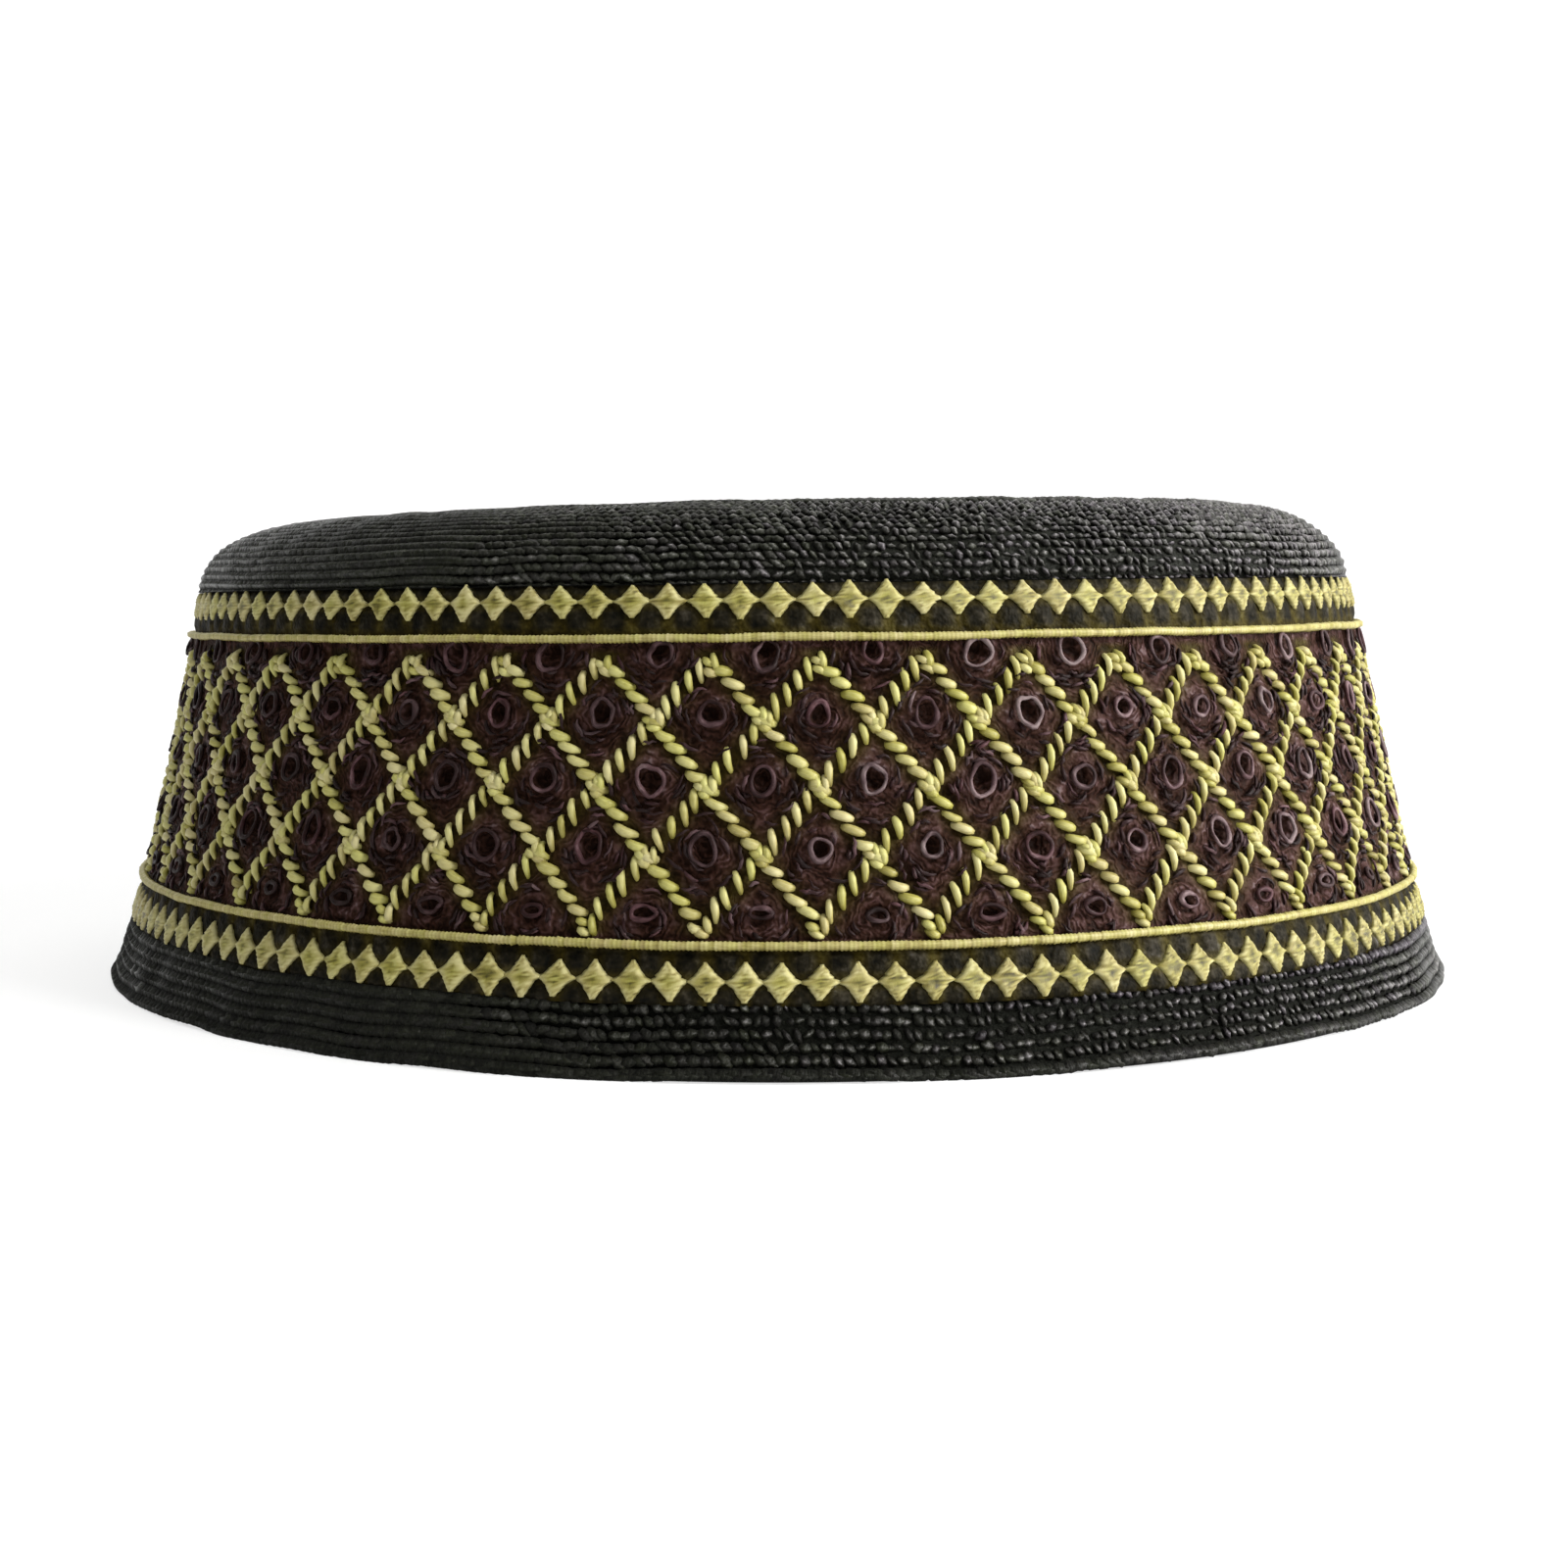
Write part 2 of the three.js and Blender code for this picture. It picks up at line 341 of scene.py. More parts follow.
# Black stitches: millimetres, slants in degrees, lengths in stitch steps, widths in row pitches
ROW_PITCH = 1.2
STITCH_PITCH = 1.2
HEM_ROWS = 6
HEM_ROWS_BOTTOM = 0.1
HEM_ROWS_TOP = HEM_HEIGHT + 0.4
CROWN_ROWS_START = -0.8
BEADED_MIDDLE = math.radians(24)
SMOOTH_REACH = 1.3
LONG_STITCH = {"slant": 4, "length": 2.3, "width": 0.56, "depth": 0.42}
BEAD_STITCH = {"slant": 45, "shorter": 1.3, "narrower": 0.3, "deeper": 0.2}
SLANT_DRIFT = 40
SLANT_SCATTER = 18
LEVEL_BEADS = {"share": 0.35, "scatter": 14}
ROW_WANDER = 0.28
ROW_SWELL = 0.14
STITCH_LIFT = 0.24
LOWEST_STITCH = 0.03


def beading(angle, row, rows_off, seed):
    """How bead-like stitches are, from 0 to 1: most to the right of the front, little by the smooth row."""
    patches = wall_noise(angle, row * 2.0, grain=12.0, seed=seed)
    beaded = unit(0.25 + 0.9 * np.cos(2 * (angle - BEADED_MIDDLE)) + 0.35 * patches)
    return beaded * np.where(rows_off < SMOOTH_REACH, 0.3, 1.0)


def black_rows(line, rows, low, high, radius, smooth_row, base_tone, right_tone, seed, steps=3, sides=5):
    """Rows of black stitches: long and level at the sides, short, slanted and bead-like right of the front.

    The row named smooth_row, at the rim or at the top edge, stays nearly level all round. Stitches are
    paler on their crests and on the cap's right, as painted light, with painted glints on the bead-like
    ones; on the right the row by the diamonds is also more purple.
    """
    random = np.random.default_rng(seed)
    per_row = int(TURN * radius / STITCH_PITCH)
    row, stitch = grid(rows, per_row)
    count = len(row)
    pitch = (high - low) / rows
    start = random.uniform(0, 1, rows)[row]
    angle = (stitch + start + random.normal(0, 0.14, count)) / per_row * TURN
    beaded = beading(angle, row, np.abs(row - smooth_row) * pitch, seed + 1)
    drift = SLANT_DRIFT * wall_noise(angle, row * 3.3, grain=5.0, seed=seed + 3)
    leaning = -(BEAD_STITCH["slant"] + drift + random.normal(0, SLANT_SCATTER, count))
    level = random.uniform(0, 1, count) < LEVEL_BEADS["share"]
    bead_slant = np.where(level, random.normal(0, LEVEL_BEADS["scatter"], count), leaning)
    up = low + (row + 0.5) * pitch + ROW_WANDER * wall_noise(angle, row * 0.6, grain=9.0, seed=seed + 2)
    up = up + 0.09 * beaded * random.normal(0, 1, count)
    step_length = line(up)[0] * TURN / per_row
    share = np.linspace(-0.5, 0.5, steps)[None, :]
    long = step_length * (LONG_STITCH["length"] - BEAD_STITCH["shorter"] * beaded ** 0.7)
    long = long * random.normal(1, 0.12, count)
    slant = LONG_STITCH["slant"]
    slope = np.radians(slant + (bead_slant - slant) * beaded)[:, None]
    offset = share * long[:, None]
    swell = np.cos(math.pi * share * 0.8) ** (0.2 + 0.45 * beaded[:, None])
    narrower = BEAD_STITCH["narrower"] * beaded * random.uniform(0.3, 1.2, count)
    wide = pitch * (LONG_STITCH["width"] - narrower)
    deep = LONG_STITCH["depth"] + BEAD_STITCH["deeper"] * beaded[:, None]
    lift = STITCH_LIFT * swell - deep - beaded[:, None] * random.uniform(0, 0.2, (count, 1))
    lift = lift + ROW_SWELL * wall_noise(angle, row * 1.7, grain=5.0, seed=seed + 4)[:, None]
    path = np.stack([offset * np.cos(slope), offset * np.sin(slope), lift], axis=-1)
    width = wide[:, None] * swell
    points, uv, facing = tubes(path, width, np.minimum(width, deep), sides)
    points[..., 1] = np.maximum(points[..., 1], LOWEST_STITCH - up[:, None, None])
    # Painted light: the tone rises towards the cap's right, where the lamps are, on each stitch's outer side,
    # and as painted glints on bead-like crests
    right = np.clip(np.sin(angle), -0.15, 1)
    tone = base_tone + right_tone * right - 0.12 * (row == 0) + 0.07 * random.normal(0, 1, count)
    glint = (0.2 + 0.75 * random.uniform(0, 1, count) ** 2) * beaded
    crest = unit(facing) ** 1.5 * np.cos(math.pi * share * 0.96)[..., None] ** 0.7
    tone = unit(tone[:, None, None] + 0.28 * facing + glint[:, None, None] * crest)
    by_trim = row == rows - 1 - smooth_row
    tint = 0.08 + 0.25 * beaded + right * (0.2 + 0.6 * by_trim) + 0.15 * random.normal(0, 1, count)
    tint = unit(tint)[:, None, None]
    return lofted(placed(points, angle, up, line), uv, tone=tone, tint=tint)


# Flat top of the crown, in millimetres
TOP_ROW_DEPTH = 0.4
TOP_HUB_RADIUS = 0.4
TOP_SWELL = 0.12


def top_rows(angle, rows_in, stitches, seed):
    """Relief from 0 in the grooves to 1 on the crests of the top's rows, and the stitches' tone, which
    follows it as painted light and shade.
    """
    random = np.random.default_rng(seed)
    row_count = int(rows_in.max()) + 1
    size_table = random.uniform(0.4, 1.0, (row_count, stitches))
    start_table = random.uniform(0, 1, row_count)
    row = np.clip(np.floor(rows_in).astype(int), 0, row_count - 1)
    across_row = rows_in - row
    ridge = np.sqrt(unit(1 - (2 * across_row - 1) ** 2))
    along = angle / TURN * stitches + start_table[row]
    stitch = np.floor(along).astype(int) % stitches
    to_end = 0.5 - np.abs(along - np.floor(along) - 0.5)
    size = size_table[row, stitch] * unit(0.25 + 3 * to_end)
    return ridge * (0.5 + 0.5 * size), ridge * size


def crown_top(columns=450, row_samples=2, under_rows=8):
    """Flat top of the crown: stitched rows going round to the middle, and its plain underside."""
    rows = int(round(FLAT_RADIUS / ROW_PITCH))
    angle = round_angles(columns)
    rows_in = np.linspace(0, rows, rows * row_samples + 1)[None, :]
    radius = FLAT_RADIUS - (FLAT_RADIUS - TOP_HUB_RADIUS) * rows_in / rows
    relief, tone = top_rows(angle, np.clip(rows_in, 0, rows - 1e-4), columns // 3, seed=31)
    dome = CROWN_DOME * (1 - (radius / FLAT_RADIUS) ** 2)
    height = CAP_HEIGHT + dome - TOP_ROW_DEPTH * (1 - relief)
    height = height + TOP_SWELL * wall_noise(angle, radius, grain=14.0, seed=32) * radius / FLAT_RADIUS
    under_radius = np.linspace(TOP_HUB_RADIUS, FLAT_RADIUS, under_rows)
    under_height = CAP_HEIGHT - CLOTH_THICKNESS + CROWN_DOME * (1 - (under_radius / FLAT_RADIUS) ** 2)
    outer, inner = (radius, height), (under_radius, under_height)
    # Tone paler on the crests and darker in the grooves: painted light and shade
    return ring_shell(outer, inner, angle, 1 / row_samples, tone=0.26 + 0.45 * tone, tint=0.3 * tone)


# Embroidered ground between the ropes, in millimetres
RING_RISE = 1.0
RING_RADIUS = 1.42
RING_THREAD = 0.27
CURLS_PER_CELL = 30
CURL_REACH = (1.95, 4.9)
CURL_LENGTH = (1.0, 2.3)
CURL_THREAD = (0.17, 0.3)
SCALLOP = {"rise": 1.95, "half_wide": 1.5, "half_tall": 1.45}
NET_STRAY = {"right": 0.35, "right_at_top": 0.8, "down": 0.2, "down_on_right": 0.35}

# How far each form of the ground stands out of the cloth, in millimetres, and how it changes the tone
GROUND_RELIEF = {"mound": 0.2, "hole": -0.9, "pocket": -0.45, "seam": -0.25, "lumps": 0.14, "scallop": 0.45}
# Tones: paler on the cap's right and on the mounds round the holes, painted light; darker in the holes, in
# the pockets under the rings and along the ropes, painted shade and shadow
GROUND_TONES = {"right": 0.12, "lumps": 0.22, "mound": 0.17, "hole": -0.6, "pocket": -0.45, "seam": -0.05}
GROUND_SUNK = -0.35
GROUND_TONE = 0.36


def level_of(height):
    """Place between the net's levels, 0 at its peaks, counted downwards."""
    heights = np.array(LEVEL_HEIGHTS[::-1])
    inside = np.interp(height, heights, np.arange(LEVELS)[::-1])
    above = np.maximum(height - LATTICE_TOP, 0) / LEVEL_RISE
    below = np.maximum(LATTICE_BOTTOM - height, 0) / LEVEL_RISE
    return inside - above + below


def net_stray(angle, height):
    """How far the net has shifted to the right and down, in millimetres: most at the top and on the right."""
    up = unit((height - LATTICE_BOTTOM) / (LATTICE_TOP - LATTICE_BOTTOM))
    share = unit(0.5 + 1.2 * np.sin(angle + math.radians(25)))
    right = unit(np.sin(angle))
    across = (NET_STRAY["right"] + NET_STRAY["right_at_top"] * up ** 1.5) * share
    return across, NET_STRAY["down"] + NET_STRAY["down_on_right"] * right


def strayed(angle, height):
    """Places of the net after its stray."""
    across, down = net_stray(angle, height)
    return angle + across / wall_radius(height), height - down


def cell_place(angle, height):
    """Across and up from the middle of the net's cell, and the distance to its nearest rope."""
    across, down = net_stray(angle, height)
    cells = (angle - across / MIDDLE_RADIUS - LATTICE_TURN) / CELL_ANGLE
    level = level_of(height + down)
    falling = cells - level / 2
    rising = cells + level / 2
    from_falling = falling - np.floor(falling) - 0.5
    from_rising = rising - np.floor(rising) - 0.5
    across = (from_falling + from_rising) / 2 * CELL_WIDTH
    up = (from_falling - from_rising) * LEVEL_RISE
    slant = CELL_WIDTH * LEVEL_RISE / math.hypot(CELL_WIDTH / 2, LEVEL_RISE)
    to_rope = (0.5 - np.maximum(np.abs(from_falling), np.abs(from_rising))) * slant
    return across, up, to_rope


def scallops(angle, height):
    """Small mounds of dark thread above and below the necks of both diamond trims."""
    mounds = 0
    half_wide, half_tall = SCALLOP["half_wide"], SCALLOP["half_tall"]
    for trim in TRIMS.values():
        place = (angle - TRIM_TURN) / TURN * trim["count"]
        pitch = TURN * wall_radius(trim["height"]) / trim["count"]
        across = (place - np.floor(place) - 0.5) * pitch
        for side in (-1, 1):
            up = height - trim["height"] - side * SCALLOP["rise"]
            mounds = mounds + np.exp(-((across / half_wide) ** 4) - (up / half_tall) ** 4)
    return mounds


def weighed(start, amounts, forms):
    """The start value plus each named form times its amount."""
    for name, amount in amounts.items():
        start = start + amount * forms[name]
    return start


def side_ground(columns=740, rows=60, inner_rows=4):
    """Maroon and black ground cloth, pressed down under the ropes and pitted inside the thread rings."""
    low, high = HEM_HEIGHT + SEAM_GAP, CROWN_SEAM - SEAM_GAP
    angle = round_angles(columns)
    height = np.linspace(low, high, rows)[None, :]
    across, up, to_rope = cell_place(angle, height)
    inside = (height > CORDS["lower"]["height"]) & (height < CORDS["upper"]["height"])
    in_net = (height > LATTICE_BOTTOM - 1) & (height < LATTICE_TOP + 1)
    from_ring = np.hypot(across, up - RING_RISE)
    lumps = wall_noise(angle, height, grain=1.5, seed=41)
    lumps = lumps + 0.6 * wall_noise(angle, height, grain=0.8, seed=42)
    scallop = scallops(angle, height)
    forms = {
        "mound": np.exp(-(((from_ring - 1.9) / 0.9) ** 2)) * inside,
        "hole": np.exp(-((from_ring / 1.1) ** 4)) * inside,
        "pocket": np.exp(-((across / 1.7) ** 2) - (((up - RING_RISE + 2.35) / 0.5) ** 2)) * inside,
        "seam": np.exp(-((to_rope / 0.9) ** 2)) * in_net,
        "lumps": lumps,
        "scallop": scallop,
        "right": np.clip(np.sin(angle), -0.3, 1),
    }
    out = weighed(GROUND_SUNK, GROUND_RELIEF, forms)
    edge = unit(np.minimum(height - low, high - height) / 0.8)
    out = out * edge + GROUND_SUNK * (1 - edge)
    inner_height = np.linspace(high, low, inner_rows)
    outer = (wall_radius(height) + out, height)
    inner = (wall_radius(inner_height) - CLOTH_THICKNESS, inner_height)
    shades = {
        "tone": unit(weighed(GROUND_TONE, GROUND_TONES, forms)),
        "warm": inside * (1 - 0.9 * np.exp(-((to_rope / 1.25) ** 2)) * in_net),
        "slate": unit(1.3 * scallop - 0.15),
        "swirl": np.where(inside, from_ring, 3 + scallop),
    }
    return ring_shell(outer, inner, angle, **shades)


def tubes(path, width, thickness, sides, closed=False):
    """Oval tubes along local paths: an array of copies, path points, and across, up and out.

    Gives the skin's points, its thread coordinates, and how far each point faces out, from -1 to 1.
    """
    if closed:
        ahead = np.roll(path, -1, axis=1) - np.roll(path, 1, axis=1)
    else:
        ahead = np.gradient(path, axis=1)
    ahead = ahead / np.linalg.norm(ahead, axis=-1, keepdims=True)
    aside = np.stack([-ahead[..., 1], ahead[..., 0], np.zeros(ahead.shape[:2])], axis=-1)
    aside = aside / np.maximum(np.linalg.norm(aside, axis=-1, keepdims=True), 1e-6)
    rise = np.cross(ahead, aside)
    turn = (np.arange(sides) + 0.5) / sides * TURN - math.pi / 2
    across_step = aside[:, :, None] * (np.cos(turn)[None, None, :, None] * width[..., None, None])
    out_step = rise[:, :, None] * (np.sin(turn)[None, None, :, None] * thickness[..., None, None])
    points = path[:, :, None] + across_step + out_step
    step = np.linalg.norm(np.diff(path, axis=1, prepend=path[:, :1]), axis=-1)
    along = np.cumsum(step, axis=1)[:, :, None]
    around = np.broadcast_to(np.arange(sides) / sides, points.shape[:3])
    return points, (along, around), np.broadcast_to(np.sin(turn), points.shape[:3])


def tube_shape(path, width, thickness, sides, angle, height, tone, tint, closed=False):
    """Tubes set round their places on the wall, paler on their outer side as painted light."""
    points, uv, facing = tubes(path, width, thickness, sides, closed)
    copies = len(path)
    tone = unit(tone.reshape(copies, -1, 1) + 0.2 * facing)
    tint = np.asarray(tint).reshape(copies, 1, 1)
    return lofted(placed(points, angle, height), uv, closed, tone=tone, tint=tint)


def cell_middles():
    """Angle, height and level of the middle of each net cell, after the net's stray."""
    levels, cells = grid(LEVELS, LATTICE_CELLS)
    angle = LATTICE_TURN + (cells + 0.5 + (levels % 2) * 0.5) * CELL_ANGLE
    return *strayed(angle, np.array(LEVEL_HEIGHTS)[levels]), levels


def ring_places():
    """Angle and height of each cell's thread ring, and the net level of its cell."""
    random = np.random.default_rng(50)
    angle, height, levels = cell_middles()
    shift = random.normal(0, 0.16, (2, len(levels)))
    top_rise, bottom_rise = 0.55, 1.35
    rise = np.where(levels == 0, top_rise, np.where(levels == LEVELS - 1, bottom_rise, RING_RISE))
    return angle + shift[0] / wall_radius(height), height + rise + shift[1], levels


def thread_rings(steps=20, sides=6):
    """A raised maroon thread ring in each cell of the net, none quite round."""
    random = np.random.default_rng(51)
    angle, height, levels = ring_places()
    count = len(levels)
    turn = (np.arange(steps) / steps * TURN)[None, :]

    def waves(size, lobes):
        height = random.uniform(0, size, (count, 1))
        return height * np.cos(lobes * turn + random.uniform(0, TURN, (count, 1)))

    squash = np.where(levels == LEVELS - 1, 0.55, random.uniform(1.0, 1.3, count))[:, None]
    radius = RING_RADIUS * (1 + waves(0.13, lobes=2) + waves(0.1, lobes=3) + waves(0.06, lobes=5))
    radius = radius * random.uniform(0.74, 1.05, (count, 1))
    lift = 0.3 + waves(0.25, lobes=1) - 0.1 * np.sin(turn)
    path = np.stack([radius * np.cos(turn), squash * radius * np.sin(turn), lift], axis=-1)
    thread = RING_THREAD * (1 + waves(0.4, lobes=1) + waves(0.25, lobes=3))
    # Painted light: rings paler towards the cap's right, where the lamps are
    from_left = unit(0.5 + 0.9 * np.sin(angle + 0.25))[:, None]
    pale = (0.15 + 0.4 * from_left) * random.uniform(0, 1, (count, 1)) ** 2
    tone = 0.04 + 0.33 * from_left + pale + waves(0.35, lobes=1) + waves(0.15, lobes=4)
    tone = tone - 0.15 * (levels == LEVELS - 1)[:, None]
    tint = random.uniform(0, 1, count)
    return tube_shape(path, thread, thread, sides, angle, height, tone, tint, closed=True)


def ground_stitches(steps=5, sides=4):
    """Short curled maroon stitches that fill each cell round its ring."""
    random = np.random.default_rng(61)
    angle, height, levels = cell_middles()
    cell = np.repeat(np.arange(len(levels)), CURLS_PER_CELL)
    count = len(cell)
    near, far = CURL_REACH
    reach = np.sqrt(random.uniform(near ** 2, far ** 2, count))
    place = random.uniform(0, TURN, count)
    across, up = reach * np.cos(place), reach * np.sin(place)
    from_middle = up + RING_RISE
    kept = np.abs(across) / (CELL_WIDTH / 2) + np.abs(from_middle) / LEVEL_RISE < 0.8
    kept &= (levels[cell] > 0) | (from_middle < 0.6)
    kept &= (levels[cell] < LEVELS - 1) | (from_middle > -1.1)
    cell, reach, place = cell[kept], reach[kept][:, None], place[kept][:, None]
    count = len(cell)
    length = random.uniform(*CURL_LENGTH, (count, 1))
    share = np.linspace(-0.5, 0.5, steps)[None, :]
    turn = place + share * length / reach
    wobble = random.normal(0, 0.09, (count, steps)) + random.normal(0, 0.5, (count, 1)) * share
    away = reach + wobble
    swell = np.cos(math.pi * share * 0.92) ** 0.5
    lift = -0.3 + 0.3 * swell + random.uniform(-0.05, 0.22, (count, 1))
    path = np.stack([away * np.cos(turn), away * np.sin(turn), lift], axis=-1)
    thread = random.uniform(*CURL_THREAD, (count, 1)) * swell
    # Curls above the ring paler and those below darker: painted shade under the ring
    tone = random.uniform(0.0, 1.0, (count, 1)) ** 2 * 0.6 + 0.1 * np.sin(turn)
    tint = random.uniform(0, 1, count)
    return tube_shape(path, thread, thread, sides, angle[cell], height[cell] + RING_RISE, tone, tint)


# Rope stitches: length and width in millimetres, direction against the horizontal in degrees,
# and where along its length a stitch is widest
STITCHES_PER_SIDE = 5
RISING_STITCH = {"length": 3.0, "width": 0.92, "slope": 99, "widest": 0.68}
FALLING_STITCH = {"length": 2.5, "width": 1.15, "slope": -19, "widest": 0.5}
KNOT_STITCHES = 3
UPRIGHT_KNOT = {"length": 1.9, "width": 1.0, "slope": 100, "widest": 0.5}
LEVEL_KNOT = {"length": 1.5, "width": 1.0, "slope": -25, "widest": 0.5}
KNOT_HALF_WIDE = 0.7
PEAK_HALF_WIDE = 0.42
KNOT_HALF_TALL = 0.6
PEAK_DROP = -0.75
VALLEY_DROP = -0.15
STITCH_SPREAD = {"slope": 4.5, "length": 0.07, "width": 0.08, "bow": 0.1, "place": 0.07}
THICKEST = 0.46
ROPE_LIFT = 1.02
ROPE_ROOT = -0.85


def stitch_shape(across, up, angle, height, stitch, tone, random, steps=7, sides=6):
    """Plump spindle stitches whose ends dive into the cloth."""
    count = len(angle)
    share = 0.5 - 0.5 * np.cos(np.linspace(0, math.pi, steps))[None, :]
    skew = math.log(0.5) / math.log(stitch["widest"])
    profile = np.sin(math.pi * np.clip(share, 0.03, 0.97) ** skew)
    swell = profile ** 0.33
    slope = np.radians(stitch["slope"] + random.normal(0, STITCH_SPREAD["slope"], count))[:, None]
    length = (stitch["length"] * random.normal(1, STITCH_SPREAD["length"], count))[:, None]
    width = (stitch["width"] * random.normal(1, STITCH_SPREAD["width"], count))[:, None]
    offset = (share - 0.5) * length
    bow = STITCH_SPREAD["bow"] * random.normal(0, 1, (count, 1)) * np.sin(math.pi * share)
    side = across[:, None] + offset * np.cos(slope) - bow * np.sin(slope)
    rise = up[:, None] + offset * np.sin(slope) + bow * np.cos(slope)
    arch = unit(np.sin(math.pi * share ** skew)) ** 0.5
    lift = ROPE_ROOT + ROPE_LIFT * arch * np.ones((count, 1))
    half_width = width / 2 * profile ** 0.21
    thickness = np.minimum(width / 2, THICKEST) * swell
    path = np.stack([side, rise, lift], axis=-1)
    # Painted shade: darker towards the cap's right, holding back the lamps there; painted light: paler on the
    # thick middle and the upper end, darker at the ends that dive into the cloth
    tone = tone - 0.12 * np.sin(angle)
    tones = tone[:, None] - 0.3 + 0.32 * swell + 0.34 * (share - 0.5) * np.sin(slope)
    return tube_shape(path, half_width, thickness, sides, angle, height, tones, random.uniform(0, 1, count))


def rope_side(direction, stitch, seed):
    """The stitches of all the ropes that rise, or fall, to the right."""
    random = np.random.default_rng(seed)
    levels, cells, steps = grid(LEVELS - 1, LATTICE_CELLS, STITCHES_PER_SIDE)
    peaks = (levels == 0) & (steps == 0)
    levels, cells, steps = levels[~peaks], cells[~peaks], steps[~peaks]
    share = steps / STITCHES_PER_SIDE
    heights = np.array(LEVEL_HEIGHTS)
    angle = LATTICE_TURN + (cells + 0.5 * (levels % 2) + direction * 0.5 * share) * CELL_ANGLE
    height = heights[levels] + (heights[levels + 1] - heights[levels]) * share
    count = len(angle)
    across, up = random.normal(0, STITCH_SPREAD["place"], (2, count))
    tone = random.normal(0.62, 0.1, count)
    return stitch_shape(across, up, *strayed(angle, height), stitch, tone, random)


def crossing_knots():
    """Short stitches that cover each crossing, peak and valley of the net."""
    random = np.random.default_rng(73)
    levels, cells, turns = grid(LEVELS, LATTICE_CELLS, KNOT_STITCHES)
    angle = LATTICE_TURN + (cells + 0.5 * (levels % 2)) * CELL_ANGLE
    height = np.array(LEVEL_HEIGHTS)[levels]
    around = turns / KNOT_STITCHES * TURN + random.uniform(-0.4, 0.4, len(levels)) + 0.5
    across = np.where(levels == 0, PEAK_HALF_WIDE, KNOT_HALF_WIDE) * np.cos(around)
    drop = np.where(levels == 0, PEAK_DROP, np.where(levels == LEVELS - 1, VALLEY_DROP, 0.0))
    up = KNOT_HALF_TALL * np.sin(around) + drop
    tone = random.normal(0.6, 0.12, len(levels))
    upright = turns == 0
    shapes = []
    for chosen, stitch in ((upright, UPRIGHT_KNOT), (~upright, LEVEL_KNOT)):
        places = strayed(angle[chosen], height[chosen])
        shapes.append(stitch_shape(across[chosen], up[chosen], *places, stitch, tone[chosen], random))
    return joined(*shapes)


# Satin cords and diamonds, in millimetres
WRAP_PITCH = 0.5
CORD_SUNK = 0.1
CORD_WANDER = 0.08
DIAMOND_SUNK = -0.12
DISH_DEPTH = 0.17
THREAD_RELIEF = 0.04


def satin_cord(height, diameter, seed, sides=6):
    """A thin cord wrapped in fine satin thread."""
    random = np.random.default_rng(seed)
    wraps = int(TURN * wall_radius(height) / WRAP_PITCH)
    steps = wraps * 2
    turn = np.arange(steps) / steps * TURN
    crest = np.where(np.arange(steps) % 2 == 0, 1.0, 0.84)
    size = diameter / 2 * crest * np.repeat(random.normal(1, 0.05, wraps), 2)
    wander = CORD_WANDER * wall_noise(turn, np.zeros(steps), grain=6.0, seed=seed + 1)
    around = ((np.arange(sides) + 0.5) / sides * TURN - math.pi / 2)[None, :]
    out = diameter / 2 - CORD_SUNK + size[:, None] * np.sin(around)
    up = height + wander[:, None] + size[:, None] * np.cos(around)
    points = turned(turn[:, None], wall_radius(height) + out, up)[None]
    # Painted light and shade: the grooves between wraps darker, and each wrap paler on its upper and outer
    # side
    wrap_tone = np.repeat(random.normal(0.62, 0.1, wraps), 2) * np.where(crest > 0.9, 1, 0.6)
    tone = wrap_tone[:, None] + 0.15 * np.sin(around) + 0.15 * np.cos(around)
    tint = np.repeat(random.uniform(0, 0.7, wraps), 2)[None, :, None]
    uv = (turn[None, :, None] * float(wall_radius(height)), np.broadcast_to(around / TURN, (1, steps, sides)))
    return lofted(points, uv, closed=True, tone=unit(tone)[None], tint=tint)


